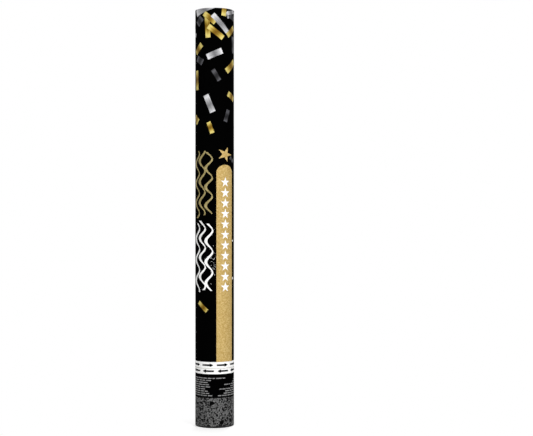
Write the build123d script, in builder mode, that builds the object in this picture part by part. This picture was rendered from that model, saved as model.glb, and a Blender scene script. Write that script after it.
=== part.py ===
from build123d import *
from math import cos, degrees, hypot, radians, sin, sqrt, tan
import os

os.makedirs("parts", exist_ok=True)

# Sizes, in millimetres and degrees

# Tubes and printed wrap
overall_length = 600.0
bore_diameter = 50.8  # two-inch paper core
board_wall = 2.4
wrap_thickness = 0.2
lap_width = 8.0  # where the ends of the wrap overlap
lap_direction = 90.0  # at the back
lap_ramp = 2.0  # where the upper end comes down onto the tube
seam_height = 85.2  # middle of the twist seam
seam_gap = 0.8
slip_ring_inset = 0.4

# Fits
glue_gap = 0.1  # radial, pieces glued or pressed into each other
running_gap = 0.1  # radial, pieces that turn or slide on each other
end_play = 0.1  # axial, pieces stacked on each other

# Base cap and coupler sleeve
flange_height = 2.6
flange_edge_radius = 0.8
skirt_height = 11.0
lead_in = 0.7
liner_wall = 1.8  # base cap skirt and coupler sleeve
foot_width = 7.0
foot_recess = 1.2
rib_height = 6.0
rib_width = 1.4
rib_count = 8
sleeve_to_housing = 9.0

# Air cylinder and its filling grommet
cylinder_gap = 0.3
cylinder_wall = 0.9
cylinder_height = 104.0  # foot to top of shoulder
shoulder_height = 12.0
foot_ring_width = 5.0
foot_edge_chamfer = 2.0
dome_rise = 5.0
dome_land_radius = 6.0
fill_hole_radius = 2.5
fill_flange_radius = 4.6
fill_flange_height = 1.2
fill_cone_height = 2.4
neck_radius = 12.0
neck_height = 12.0
shoulder_fillet = 7.0

# Valve body and release plug
gasket_height = 1.2
gasket_width = 1.8
thread_gap = 0.1
valve_skirt_wall = 3.4
valve_skirt_lift = 1.2
valve_flange_height = 3.0
plug_radius = 8.9
plug_lift = 4.5
plug_guide = 7.0
plug_core_radius = 3.4
plug_core_depth = 11.0
plug_chamfer = 0.6
plug_foot = 1.4
plug_land = 1.0
upper_flank_angle = 45.0  # slope of the waist above the balls
o_ring_section = 2.4
o_ring_groove = 2.8
seal_side_count = 8  # flats round the section of a seal ring
flute_radius = 2.0
flute_spread_angle = 20.0
flute_lead = 0.4

# Ball lock and cam collar
ball_count = 3
ball_diameter = 6.0
ball_travel_length = 1.9
ball_protrusion = 0.6
ball_angle = 90.0
twist_angle = 90.0
dwell_share = 0.3  # parts of the angle left over from the ramp
return_share = 0.43
ramp_point_count = 7
waist_gap = 0.2
cam_margin = 1.5
key_width = 5.0
key_share = 0.3  # part of the housing wall that the keys go into
washer_height = 1.0

# Breech housing
web_height = 4.0
seal_section = 1.8
housing_wall = 3.3
housing_rim = 1.7
clip_height = 1.2
clip_depth = 0.7
clip_width = 3.7
clip_opening = 6.0
cage_above_clip = 2.4
stop_gap = 0.3
grille_height = 3.0
grille_rim = 2.4
grille_spoke = 3.0
grille_pad_radius = 8.0

# Wad, charge and muzzle cap
wad_height = 12.0
wad_wall = 1.6
wad_face = 3.0
strip_length = 38.0
strip_width = 14.0
strip_names = ("gold_strips", "silver_strips", "black_strips")
layer_count = 6
layer_angle = 60.0
leaf_count = 5
leaf_step = 0.8
pack_gap = 0.4
card_height = 1.2
cap_recess = 1.5
cap_height = 12.0
cap_wall = 1.6
cap_face = 1.8
cap_rim_width = 2.0
cap_rim_height = 0.8

# Sizes that follow from these

bore_radius = bore_diameter / 2
board_radius = bore_radius + board_wall
outer_radius = board_radius + wrap_thickness
fitted_radius = bore_radius - glue_gap
sliding_radius = bore_radius - running_gap
grip_top = seam_height - seam_gap / 2
barrel_bottom = seam_height + seam_gap / 2

cylinder_radius = sliding_radius - liner_wall - cylinder_gap
cylinder_base = flange_height + rib_height + end_play
neck_base = cylinder_base + cylinder_height
neck_top = neck_base + neck_height
web_base = neck_top + gasket_height + 2 * end_play
flange_top = web_base + valve_flange_height

# The lower flank of the plug rises plug_lift over a ball's whole travel, so that a ball
# moving out lets the plug up with the gap between them unchanged.
ball_radius = ball_diameter / 2
ball_rest = plug_radius + running_gap + ball_radius - ball_travel_length
valve_bore = plug_radius + running_gap
cage_radius = ball_rest + ball_radius - ball_protrusion
o_ring_height = web_base + plug_foot + o_ring_groove / 2
o_ring_radius = plug_radius + running_gap / 2 - o_ring_section / 2
groove_radius = o_ring_radius - o_ring_section / 2 - glue_gap
flank_base = o_ring_height + o_ring_groove / 2 + plug_land
flank_slope = plug_lift / ball_travel_length
upper_slope = tan(radians(upper_flank_angle))
ball_reach = ball_radius + running_gap
ball_height = flank_base + ball_reach * hypot(1, flank_slope) - flank_slope * (ball_rest - plug_radius)
waist_radius = ball_rest - ball_radius - waist_gap
waist_base = flank_base + flank_slope * (plug_radius - waist_radius)
waist_top = ball_height + ball_reach * hypot(1, upper_slope) - upper_slope * (ball_rest - waist_radius)
guide_base = waist_top + upper_slope * (plug_radius - waist_radius)
plug_top = guide_base + plug_guide
flute_base = o_ring_height + plug_lift - o_ring_section / 2 - flute_lead

cam_rest = ball_rest + ball_radius + running_gap
cam_end = cam_rest + ball_travel_length
cam_outer = (cam_end + fitted_radius) / 2
cam_base = flange_top + washer_height + 2 * end_play
cam_top = ball_height + ball_radius + cam_margin
key_height = key_share * (fitted_radius - cam_outer)

web_bottom = cam_top + end_play
web_top = web_bottom + web_height
web_middle = (web_bottom + web_top) / 2
web_bore = cage_radius + running_gap
seal_radius = web_bore + seal_section / 2
clip_base = web_top + end_play
clip_radius = cage_radius - clip_depth
cage_top = clip_base + clip_height + cage_above_clip
grille_base = plug_top + plug_lift + stop_gap
housing_top = grille_base + grille_height
sleeve_base = flange_height + skirt_height + end_play
sleeve_top = cam_base - sleeve_to_housing

wad_base = housing_top + end_play
charge_base = wad_base + wad_height + end_play
layer_pitch = strip_length + leaf_step + pack_gap
charge_top = charge_base + layer_count * layer_pitch
column_pitch = strip_width + pack_gap
column_count = int((2 * sliding_radius + pack_gap) // column_pitch)
cap_top = overall_length - cap_recess


def polar(radius, angle):
    return (radius * cos(radians(angle)), radius * sin(radians(angle)))


def ball_angles(shift=0.0):
    return [ball_angle + shift + 360 / ball_count * index for index in range(ball_count)]


# Tubes and wraps: the same wound wall and printed sheet below and above the seam.
# The lap of a sheet is an arc one sheet proud, with a cut edge at one end and a ramp at the other.

lap_angle = degrees(lap_width / outer_radius)
lap_end = lap_direction + lap_angle / 2
lap_start = lap_direction - lap_angle / 2
lap_foot = lap_start - lap_angle * lap_ramp / lap_width
lap_arc = [polar(outer_radius + wrap_thickness, angle) for angle in (lap_start, lap_direction, lap_end)]
lap_root = [polar(outer_radius - wrap_thickness / 2, angle) for angle in (lap_end, lap_direction, lap_foot)]

for half, bottom, top in (("grip", flange_height, grip_top), ("barrel", barrel_bottom, overall_length)):
    with BuildPart() as tube:
        with BuildSketch(Plane.XY.offset(bottom)):
            Circle(board_radius)
            Circle(bore_radius, mode=Mode.SUBTRACT)
        extrude(amount=top - bottom)
    tube.part.label = f"{half}_tube"
    export_step(tube.part, f"parts/{half}_tube.step")

    with BuildPart() as wrap:
        with BuildSketch(Plane.XY.offset(bottom)):
            Circle(outer_radius)
            with BuildLine():
                Polyline(lap_root[-1], polar(outer_radius, lap_foot), lap_arc[0])
                ThreePointArc(*lap_arc)
                Line(lap_arc[-1], lap_root[0])
                ThreePointArc(*lap_root)
            make_face()
            Circle(board_radius, mode=Mode.SUBTRACT)
        extrude(amount=top - bottom)
    wrap.part.label = f"{half}_wrap"
    export_step(wrap.part, f"parts/{half}_wrap.step")

# Slip ring and coupler sleeve: what the two halves turn on

with BuildPart() as slip_ring:
    with BuildSketch(Plane.XY.offset(grip_top + end_play)):
        Circle(board_radius - slip_ring_inset)
        Circle(bore_radius, mode=Mode.SUBTRACT)
    extrude(amount=seam_gap - 2 * end_play)
slip_ring.part.label = "slip_ring"
export_step(slip_ring.part, "parts/slip_ring.step")

with BuildPart() as coupler_sleeve:
    with BuildSketch(Plane.XY.offset(sleeve_base)):
        Circle(sliding_radius)
        Circle(sliding_radius - liner_wall, mode=Mode.SUBTRACT)
    extrude(amount=sleeve_top - sleeve_base)
    ends = coupler_sleeve.edges().group_by(Axis.Z)
    chamfer(ends[-1].sort_by(SortBy.LENGTH)[-1], lead_in)
coupler_sleeve.part.label = "coupler_sleeve"
export_step(coupler_sleeve.part, "parts/coupler_sleeve.step")

# Base cap: a flange flush with the wrap, a hollow foot, and a skirt with ribs under the cylinder

with BuildPart() as base_cap:
    with BuildSketch():
        Circle(outer_radius)
    extrude(amount=flange_height)
    fillet(base_cap.edges().group_by(Axis.Z)[0], flange_edge_radius)
    with BuildSketch():
        Circle(outer_radius - foot_width)
    extrude(amount=foot_recess, mode=Mode.SUBTRACT)
    with BuildSketch(Plane.XY.offset(flange_height)):
        Circle(fitted_radius)
        Circle(fitted_radius - liner_wall, mode=Mode.SUBTRACT)
    extrude(amount=skirt_height)
    chamfer(base_cap.edges().group_by(Axis.Z)[-1].sort_by(SortBy.LENGTH)[-1], lead_in)
    with BuildSketch(Plane.XY.offset(flange_height)):
        with PolarLocations(0, rib_count // 2, angular_range=180):
            Rectangle(2 * fitted_radius - liner_wall, rib_width)
    extrude(amount=rib_height)
base_cap.part.label = "base_cap"
export_step(base_cap.part, "parts/base_cap.step")

# Air cylinder: one drawn wall, turned from its outside line

with BuildPart() as air_cylinder:
    with BuildSketch(Plane.XZ):
        with BuildLine():
            FilletPolyline(
                (fill_hole_radius, cylinder_base + dome_rise),
                (dome_land_radius, cylinder_base + dome_rise),
                (cylinder_radius - foot_ring_width, cylinder_base),
                (cylinder_radius - foot_edge_chamfer, cylinder_base),
                (cylinder_radius, cylinder_base + foot_edge_chamfer),
                (cylinder_radius, neck_base - shoulder_height),
                (neck_radius, neck_base),
                (neck_radius, neck_top),
                radius=[0, 0, 0, 0, shoulder_fillet, 0],
            )
            offset(amount=cylinder_wall, side=Side.LEFT, kind=Kind.INTERSECTION)
        make_face()
    revolve(axis=Axis.Z)
air_cylinder.part.label = "air_cylinder"
export_step(air_cylinder.part, "parts/air_cylinder.step")

with BuildPart() as fill_valve:
    fill_low = cylinder_base + dome_rise - end_play
    fill_high = cylinder_base + dome_rise + cylinder_wall + end_play
    with BuildSketch(Plane.XZ):
        with BuildLine():
            Polyline(
                (0, fill_low - fill_flange_height),
                (fill_flange_radius, fill_low - fill_flange_height),
                (fill_flange_radius, fill_low),
                (fill_hole_radius - glue_gap, fill_low),
                (fill_hole_radius - glue_gap, fill_high),
                (fill_flange_radius, fill_high),
                (fill_hole_radius, fill_high + fill_cone_height),
                (0, fill_high + fill_cone_height),
                close=True,
            )
        make_face()
    revolve(axis=Axis.Z)
fill_valve.part.label = "fill_valve"
export_step(fill_valve.part, "parts/fill_valve.step")

with BuildPart() as neck_gasket:
    with BuildSketch(Plane.XY.offset(neck_top + end_play)):
        Circle(neck_radius)
        Circle(neck_radius - gasket_width, mode=Mode.SUBTRACT)
    extrude(amount=gasket_height)
neck_gasket.part.label = "neck_gasket"
export_step(neck_gasket.part, "parts/neck_gasket.step")

# Valve body: threaded skirt, thrust flange and the cage that guides the balls

with BuildPart() as valve_body:
    skirt_bore = neck_radius + thread_gap
    skirt_radius = skirt_bore + valve_skirt_wall
    skirt_base = neck_base + valve_skirt_lift
    with BuildSketch(Plane.XZ):
        with BuildLine():
            Polyline(
                (skirt_bore, skirt_base),
                (skirt_radius, skirt_base),
                (skirt_radius, web_base),
                (cam_outer, web_base),
                (cam_outer, flange_top),
                (cage_radius, flange_top),
                (cage_radius, clip_base),
                (clip_radius, clip_base),
                (clip_radius, clip_base + clip_height),
                (cage_radius, clip_base + clip_height),
                (cage_radius, cage_top),
                (valve_bore, cage_top),
                (valve_bore, web_base),
                (skirt_bore, web_base),
                close=True,
            )
        make_face()
    revolve(axis=Axis.Z)
    for angle in ball_angles():
        with BuildSketch(Plane(origin=(0, 0, ball_height), x_dir=(0, 0, 1), z_dir=(*polar(1, angle), 0))):
            Circle(ball_radius + running_gap)
        extrude(amount=cage_radius + ball_protrusion, mode=Mode.SUBTRACT)
    with BuildSketch(Plane.XY.offset(flute_base)):
        for side in (-flute_spread_angle, flute_spread_angle):
            with Locations([polar(valve_bore, angle) for angle in ball_angles(180 / ball_count + side)]):
                Circle(flute_radius)
    extrude(amount=cage_top - flute_base, mode=Mode.SUBTRACT)
valve_body.part.label = "valve_body"
export_step(valve_body.part, "parts/valve_body.step")

# Release plug: seal at the foot, a waist that the balls sit in, a guide at the top

with BuildPart() as release_plug:
    with BuildSketch(Plane.XZ):
        with BuildLine():
            Polyline(
                (0, web_base),
                (plug_radius - plug_chamfer, web_base),
                (plug_radius, web_base + plug_chamfer),
                (plug_radius, o_ring_height - o_ring_groove / 2),
                (groove_radius, o_ring_height - o_ring_groove / 2),
                (groove_radius, o_ring_height + o_ring_groove / 2),
                (plug_radius, o_ring_height + o_ring_groove / 2),
                (plug_radius, flank_base),
                (waist_radius, waist_base),
                (waist_radius, waist_top),
                (plug_radius, guide_base),
                (plug_radius, plug_top - plug_chamfer),
                (plug_radius - plug_chamfer, plug_top),
                (plug_core_radius, plug_top),
                (plug_core_radius, plug_top - plug_core_depth),
                (0, plug_top - plug_core_depth),
                close=True,
            )
        make_face()
    revolve(axis=Axis.Z)
release_plug.part.label = "release_plug"
export_step(release_plug.part, "parts/release_plug.step")

with BuildPart() as plug_o_ring:
    with BuildSketch(Plane.XZ):
        with Locations((o_ring_radius, o_ring_height)):
            RegularPolygon(o_ring_section / 2, seal_side_count, False, 180 / seal_side_count)
    revolve(axis=Axis.Z)
plug_o_ring.part.label = "plug_o_ring"
export_step(plug_o_ring.part, "parts/plug_o_ring.step")

for number, angle in enumerate(ball_angles(), start=1):
    with BuildPart() as lock_ball:
        with Locations((*polar(ball_rest, angle), ball_height)):
            Sphere(ball_radius)
    lock_ball.part.label = f"lock_ball_{number}"
    export_step(lock_ball.part, f"parts/lock_ball_{number}.step")

# Cam collar: behind each ball a spiral ramp opens by the ball's travel over twist_angle,
# then comes a dwell, a straight return and the dwell before the next ramp.

with BuildPart() as cam_collar:
    lobe_pitch = 360 / ball_count
    spare_angle = lobe_pitch - twist_angle
    dwell_end = twist_angle + dwell_share * spare_angle
    return_end = dwell_end + return_share * spare_angle
    with BuildSketch(Plane.XY.offset(cam_base)):
        Circle(cam_outer)
        for angle in ball_angles(180 / ball_count):
            with Locations(Location((*polar(cam_outer, angle), 0), (0, 0, angle))):
                Rectangle(2 * key_height, key_width)
        with BuildLine():
            for start in ball_angles():
                shares = [step / (ramp_point_count - 1) for step in range(ramp_point_count)]
                Spline([polar(cam_rest + ball_travel_length * t, start - twist_angle * t) for t in shares])
                ThreePointArc(
                    polar(cam_end, start - twist_angle),
                    polar(cam_end, start - (twist_angle + dwell_end) / 2),
                    polar(cam_end, start - dwell_end),
                )
                Line(polar(cam_end, start - dwell_end), polar(cam_rest, start - return_end))
                ThreePointArc(
                    polar(cam_rest, start - return_end),
                    polar(cam_rest, start - (return_end + lobe_pitch) / 2),
                    polar(cam_rest, start - lobe_pitch),
                )
        make_face(mode=Mode.SUBTRACT)
    extrude(amount=cam_top - cam_base)
cam_collar.part.label = "cam_collar"
export_step(cam_collar.part, "parts/cam_collar.step")

with BuildPart() as thrust_washer:
    with BuildSketch(Plane.XY.offset(flange_top + end_play)):
        Circle(cam_outer)
        Circle(cage_radius + running_gap, mode=Mode.SUBTRACT)
    extrude(amount=washer_height)
thrust_washer.part.label = "thrust_washer"
export_step(thrust_washer.part, "parts/thrust_washer.step")

# Breech housing: collar cup below, web with its seal groove, well and grille seat above

with BuildPart() as breech_housing:
    cup_radius = cam_outer + glue_gap
    well_radius = fitted_radius - housing_wall
    seat_radius = fitted_radius - housing_rim
    groove_depth_radius = web_bore + seal_section + glue_gap
    groove_low = web_middle - seal_section / 2 - glue_gap
    groove_high = web_middle + seal_section / 2 + glue_gap
    with BuildSketch(Plane.XZ):
        with BuildLine():
            Polyline(
                (cup_radius, cam_base),
                (fitted_radius, cam_base),
                (fitted_radius, housing_top),
                (seat_radius, housing_top),
                (seat_radius, grille_base),
                (well_radius, grille_base),
                (well_radius, web_top),
                (web_bore, web_top),
                (web_bore, groove_high),
                (groove_depth_radius, groove_high),
                (groove_depth_radius, groove_low),
                (web_bore, groove_low),
                (web_bore, web_bottom),
                (cup_radius, web_bottom),
                close=True,
            )
        make_face()
    revolve(axis=Axis.Z)
    with BuildSketch(Plane.XY.offset(cam_base)):
        for angle in ball_angles(180 / ball_count):
            with Locations(Location((*polar(cam_outer, angle), 0), (0, 0, angle))):
                Rectangle(2 * (key_height + glue_gap), key_width + 2 * glue_gap)
    extrude(amount=web_bottom - cam_base, mode=Mode.SUBTRACT)
breech_housing.part.label = "breech_housing"
export_step(breech_housing.part, "parts/breech_housing.step")

with BuildPart() as breech_seal:
    with BuildSketch(Plane.XZ):
        with Locations((seal_radius, web_middle)):
            RegularPolygon(seal_section / 2, seal_side_count, False, 180 / seal_side_count)
    revolve(axis=Axis.Z)
breech_seal.part.label = "breech_seal"
export_step(breech_seal.part, "parts/breech_seal.step")

with BuildPart() as retaining_ring:
    with BuildSketch(Plane.XY.offset(clip_base + end_play)):
        Circle(clip_radius + clip_width)
        Circle(clip_radius + glue_gap, mode=Mode.SUBTRACT)
        with Locations((0, -clip_radius - clip_width / 2)):
            Rectangle(clip_opening, 2 * clip_width, mode=Mode.SUBTRACT)
    extrude(amount=clip_height - 2 * end_play)
retaining_ring.part.label = "retaining_ring"
export_step(retaining_ring.part, "parts/retaining_ring.step")

with BuildPart() as stop_grille:
    grille_radius = seat_radius - glue_gap
    spoke_length = grille_radius - grille_rim / 2
    with BuildSketch(Plane.XY.offset(grille_base)):
        Circle(grille_radius)
        Circle(grille_radius - grille_rim, mode=Mode.SUBTRACT)
        Circle(grille_pad_radius)
        with PolarLocations(spoke_length / 2, ball_count, start_angle=ball_angle):
            Rectangle(spoke_length, grille_spoke)
    extrude(amount=grille_height)
stop_grille.part.label = "stop_grille"
export_step(stop_grille.part, "parts/stop_grille.step")

# Wad: a cup, open towards the air

with BuildPart() as wad:
    with BuildSketch(Plane.XY.offset(wad_base)):
        Circle(sliding_radius)
    extrude(amount=wad_height)
    with BuildSketch(Plane.XY.offset(wad_base)):
        Circle(sliding_radius - wad_wall)
    extrude(amount=wad_height - wad_face, mode=Mode.SUBTRACT)
wad.part.label = "wad"
export_step(wad.part, "parts/wad.step")

# Charge: stacks of strips on end, three colours to a layer; the leaves of a stack stand unevenly


def packs(colour):
    """Layer and column of each stack of one colour; the colours change places by layer."""
    places = [(layer, column) for layer in range(layer_count) for column in range(column_count)]
    return [place for place in places if sum(place) % len(strip_names) == colour]


def pack_plane(layer, column):
    """Plane through the middle of one stack of strips, its X across the stack."""
    heading = layer * layer_angle
    x, y = polar((column - (column_count - 1) / 2) * column_pitch, heading)
    height = charge_base + layer * layer_pitch + strip_length / 2
    return Plane(origin=(x, y, height), x_dir=(*polar(1, heading + 90), 0), z_dir=(*polar(1, heading), 0))


def leaf_depth(column):
    """Thickness of one of the groups of leaves that together just fit the bore at their place."""
    far_side = abs(column - (column_count - 1) / 2) * column_pitch + strip_width / 2
    return 2 * sqrt((sliding_radius - pack_gap) ** 2 - far_side**2) / leaf_count


def leaf_places(column):
    """Middle of each group of leaves, across the stack and up."""
    middle = (leaf_count - 1) / 2
    return [((leaf - middle) * leaf_depth(column), leaf_step * (leaf % 2)) for leaf in range(leaf_count)]


for colour, strip_name in enumerate(strip_names):
    with BuildPart() as strips:
        for layer, column in packs(colour):
            with BuildSketch(pack_plane(layer, column)):
                with Locations(leaf_places(column)):
                    Rectangle(leaf_depth(column), strip_length)
            extrude(amount=strip_width / 2, both=True)
    strips.part.label = strip_name
    export_step(strips.part, f"parts/{strip_name}.step")

with BuildPart() as over_card:
    with BuildSketch(Plane.XY.offset(charge_top)):
        Circle(sliding_radius)
    extrude(amount=card_height)
over_card.part.label = "over_card"
export_step(over_card.part, "parts/over_card.step")

# Muzzle cap: closed face outwards, with a low rim, and a skirt down into the bore

with BuildPart() as muzzle_cap:
    face_top = cap_top - cap_rim_height
    with BuildSketch(Plane.XZ):
        with BuildLine():
            Polyline(
                (0, face_top),
                (sliding_radius - cap_rim_width, face_top),
                (sliding_radius - cap_rim_width, cap_top),
                (sliding_radius, cap_top),
                (sliding_radius, cap_top - cap_height),
                (sliding_radius - cap_wall, cap_top - cap_height),
                (sliding_radius - cap_wall, face_top - cap_face),
                (0, face_top - cap_face),
                close=True,
            )
        make_face()
    revolve(axis=Axis.Z)
    chamfer(muzzle_cap.edges().group_by(Axis.Z)[0].sort_by(SortBy.LENGTH)[-1], lead_in)
muzzle_cap.part.label = "muzzle_cap"
export_step(muzzle_cap.part, "parts/muzzle_cap.step")

print("ball height", round(ball_height, 3), "plug top", round(plug_top, 3), "cam", round(cam_rest, 3))
print("charge from", round(charge_base, 2), "to", round(charge_top, 2), "columns", column_count)
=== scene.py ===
# %% [markdown]
# # A confetti popper
# The real thing is a wound board tube, 60 cm long, in a printed paper wrap. A twist of the barrel on the
# short grip below it frees a bottle of air, and the air throws foil strips out of the mouth.
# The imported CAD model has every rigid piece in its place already. This lesson winds and prints the paper,
# rounds what the eye meets at the mouth, packs the strips, and gives each piece the finish of its material.

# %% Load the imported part
import math
import random

import bpy
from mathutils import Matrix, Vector


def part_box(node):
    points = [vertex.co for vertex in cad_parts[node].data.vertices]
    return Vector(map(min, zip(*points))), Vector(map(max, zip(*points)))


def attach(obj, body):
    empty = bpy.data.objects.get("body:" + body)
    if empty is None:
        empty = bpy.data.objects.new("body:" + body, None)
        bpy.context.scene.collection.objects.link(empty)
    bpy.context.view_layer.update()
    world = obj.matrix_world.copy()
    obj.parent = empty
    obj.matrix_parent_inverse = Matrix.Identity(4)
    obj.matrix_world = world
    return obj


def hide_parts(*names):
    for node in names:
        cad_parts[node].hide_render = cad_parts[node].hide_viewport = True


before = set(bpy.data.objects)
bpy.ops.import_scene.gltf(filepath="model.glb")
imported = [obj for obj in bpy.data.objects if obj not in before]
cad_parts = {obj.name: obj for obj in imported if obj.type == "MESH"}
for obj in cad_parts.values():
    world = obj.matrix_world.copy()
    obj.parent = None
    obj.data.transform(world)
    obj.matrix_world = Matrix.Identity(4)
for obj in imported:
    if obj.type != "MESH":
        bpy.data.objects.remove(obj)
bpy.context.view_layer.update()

MM = 0.001

# %% [markdown]
# ## Camera
# The photo looks at the tube about level with its middle: the mouth bows up and the foot bows down. How
# strongly the foot bows gives the distance, about 1.65 m. The lens follows from the measured size of the tube
# in the picture, so the print can be placed in millimetres. The tube stands left of the picture's centre, so
# the camera is turned a little to the right.

# %% Camera
picture_width = 533
focal_length_pixels = 1136.0
tube_left_of_centre_pixels = 51.85
camera_distance = 1650 * MM
camera_height = 300 * MM
scene = bpy.context.scene


def new_object(name, data):
    """An object with this data, in the scene."""
    thing = bpy.data.objects.new(name, data)
    scene.collection.objects.link(thing)
    return thing


camera_lens = bpy.data.cameras.new("studio_camera")
camera_lens.sensor_width = 36.0
camera_lens.lens = camera_lens.sensor_width * focal_length_pixels / picture_width
camera = new_object("studio_camera", camera_lens)
camera.location = (0, -camera_distance, camera_height)
camera.rotation_euler = (math.radians(90), 0, -math.atan(tube_left_of_centre_pixels / focal_length_pixels))
scene.camera = camera
print("lens of", round(camera_lens.lens, 1), "mm")

# %% [markdown]
# ## Helpers for nodes
# Finishes and node trees are both made of nodes. One helper turns a hex colour, as a paint program shows
# it, into the linear colour that Blender works in. Another adds any node, sets it up and links it, so each
# tree below reads as a list of its nodes. A node that stands for an input means its first output. Sums,
# colour ramps and blends of two colours have helpers of their own, and three more kinds have short names.

# %% Colour and node helpers
RANGE, NOISE, JOIN = "ShaderNodeMapRange", "ShaderNodeTexNoise", "ShaderNodeCombineXYZ"


def to_linear(code):
    """The linear colour of an sRGB hex value, with full opacity."""
    parts = [int(code[place:place + 2], 16) / 255 for place in (1, 3, 5)]
    return [part / 12.92 if part <= 0.04045 else ((part + 0.055) / 1.055) ** 2.4 for part in parts] + [1.0]


def fill(node, inputs):
    """Fills inputs, named or in order. A socket or a node's first output is linked, another value is set."""
    for place, value in inputs.items() if isinstance(inputs, dict) else enumerate(inputs):
        if isinstance(value, bpy.types.Node):
            value = value.outputs[0]
        if isinstance(value, bpy.types.NodeSocket):
            node.id_data.links.new(value, node.inputs[place])
        else:
            node.inputs[place].default_value = value


def add(tree, kind, inputs=(), **settings):
    """Adds a node with its settings and inputs."""
    node = tree.nodes.new(kind)
    for name, value in settings.items():
        setattr(node, name, value)
    fill(node, inputs)
    return node


def calc(tree, operation, *values):
    """Adds a sum of one to three values."""
    return add(tree, "ShaderNodeMath", values, operation=operation)


def ramp(tree, value, *stops):
    """Adds a colour ramp on a value. Each stop is a place and a hex colour."""
    node = add(tree, "ShaderNodeValToRGB", [value])
    marks = node.color_ramp.elements
    marks[0].position, marks[1].position = stops[0][0], stops[-1][0]
    for position, _ in stops[1:-1]:
        marks.new(position)
    for mark, (_, code) in zip(marks, stops):
        mark.color = to_linear(code)
    return node


def blend(tree, share, first, second):
    """Adds a blend of two colours by the second one's share. A mix has colours in sockets 6 and 7."""
    return add(tree, "ShaderNodeMix", {0: share, 6: first, 7: second}, data_type="RGBA").outputs[2]


print("mid grey in linear light:", round(to_linear("#808080")[0], 3))

# %% [markdown]
# ## White studio
# The photo has a pure white ground and soft light from the front. A bright world would wash out the black
# paper, so the world is white only for what the camera sees, directly or mirrored, and dimmer as a light.
# Two large lamps in front, the right one stronger, leave the tube's sides darker than its middle. A third
# lights its back, so that the popper reads from every side.

# %% World
scene.view_settings.view_transform = "Standard"
world_light = 0.19


def seen_by_camera(tree):
    """One for what the camera sees, directly, mirrored or through something clear, and else zero."""
    ray = add(tree, "ShaderNodeLightPath").outputs
    seen = ray["Is Camera Ray"]
    for other_ray in ("Is Glossy Ray", "Is Transmission Ray"):
        seen = calc(tree, "MAXIMUM", seen, ray[other_ray])
    return seen


studio = bpy.data.worlds.new("white_studio")
studio.use_nodes = True
tree = studio.node_tree
tree.nodes.clear()
scene.world = studio
level = add(tree, RANGE, {"Value": seen_by_camera(tree), "To Min": world_light, "To Max": 1.0})
ground = add(tree, "ShaderNodeBackground", {"Color": to_linear("#FFFFFF"), "Strength": level})
add(tree, "ShaderNodeOutputWorld", {"Surface": ground})
print("world lights at", world_light)

# %% Lamps
tube_middle = Vector((0, 0, 0.3))
softbox_width, softbox_height = 0.9, 1.4
for lamp_name, place, watts in (
        ("lamp_left", (-0.75, -1.45, 0.75), 13.5), ("lamp_right", (1.05, -1.4, 0.75), 20.0),
        ("lamp_back", (0.3, 1.6, 1.6), 20.0)):
    softbox = bpy.data.lights.new(lamp_name, "AREA")
    softbox.shape = "RECTANGLE"
    softbox.size, softbox.size_y = softbox_width, softbox_height
    softbox.energy = watts
    lamp = new_object(lamp_name, softbox)
    lamp.location = place
    lamp.rotation_euler = (tube_middle - lamp.location).to_track_quat("-Z", "Y").to_euler()
    print(lamp_name, watts, "W")

# %% [markdown]
# ## Floor
# One sheet is enough. Close to the foot it is white paint that takes the shadow, and further out it glows as
# white as the world for the camera, so no horizon shows.

# %% Floor
floor_reach, floor_height = 6.0, -0.05 * MM
paint_reach, glow_reach = 0.03, 0.075
near_lift = 0.45

square_corners = [(-1, -1), (1, -1), (1, 1), (-1, 1)]
floor_corners = [(x * floor_reach, y * floor_reach, floor_height) for x, y in square_corners]
floor_sheet = bpy.data.meshes.new("floor")
floor_sheet.from_pydata(floor_corners, [], [(0, 1, 2, 3)])
floor = new_object("floor", floor_sheet)

floor_paint = bpy.data.materials.new("matt_white_floor_paint")
floor_paint.use_nodes = True
tree = floor_paint.node_tree
tree.nodes.clear()
seen = seen_by_camera(tree)
spot = add(tree, "ShaderNodeTexCoord").outputs["Object"]
away = add(tree, "ShaderNodeVectorMath", [spot], operation="LENGTH").outputs["Value"]
fade = add(tree, RANGE, {"Value": away, "From Min": paint_reach, "From Max": glow_reach},
           interpolation_type="SMOOTHSTEP")
glow_share = calc(tree, "MULTIPLY", seen, fade)
lift = calc(tree, "MULTIPLY", seen, near_lift)
paint = add(tree, "ShaderNodeBsdfDiffuse", {"Color": to_linear("#F4F4F4")})
near_glow = add(tree, "ShaderNodeEmission", {"Color": to_linear("#FFFFFF"), "Strength": lift})
near = add(tree, "ShaderNodeAddShader", [paint, near_glow])
far_glow = add(tree, "ShaderNodeEmission", {"Color": to_linear("#FFFFFF"), "Strength": 1.0})
surface = add(tree, "ShaderNodeMixShader", [glow_share, near, far_glow])
add(tree, "ShaderNodeOutputMaterial", {"Surface": surface})
floor_sheet.materials.append(floor_paint)
print("floor of", 2 * floor_reach, "m")

# %% [markdown]
# ## Finish: laminated black paper
# The wrap is art paper, printed solid black under a thin matt film. The film gives a very low, even sheen,
# and the fibres below show as a faint unevenness in it. Their clumps are about 0.3 mm, too fine to show, so
# they are drawn at 1 mm. Cut edges at the mouth and the seam show the paper's white core, which is picked out
# by the direction that the surface faces.

# %% Laminated black paper
def new_finish(name):
    """A material, its node tree, the object's own coordinates in it, and its skin, which meets the light."""
    material = bpy.data.materials.new(name)
    material.use_nodes = True
    tree = material.node_tree
    tree.nodes.clear()
    skin = add(tree, "ShaderNodeBsdfPrincipled")
    add(tree, "ShaderNodeOutputMaterial", {"Surface": skin})
    return material, tree, add(tree, "ShaderNodeTexCoord").outputs["Object"], skin


def per_size(millimetres):
    """The texture scale whose features are this large."""
    return 1 / (millimetres * MM)


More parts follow.
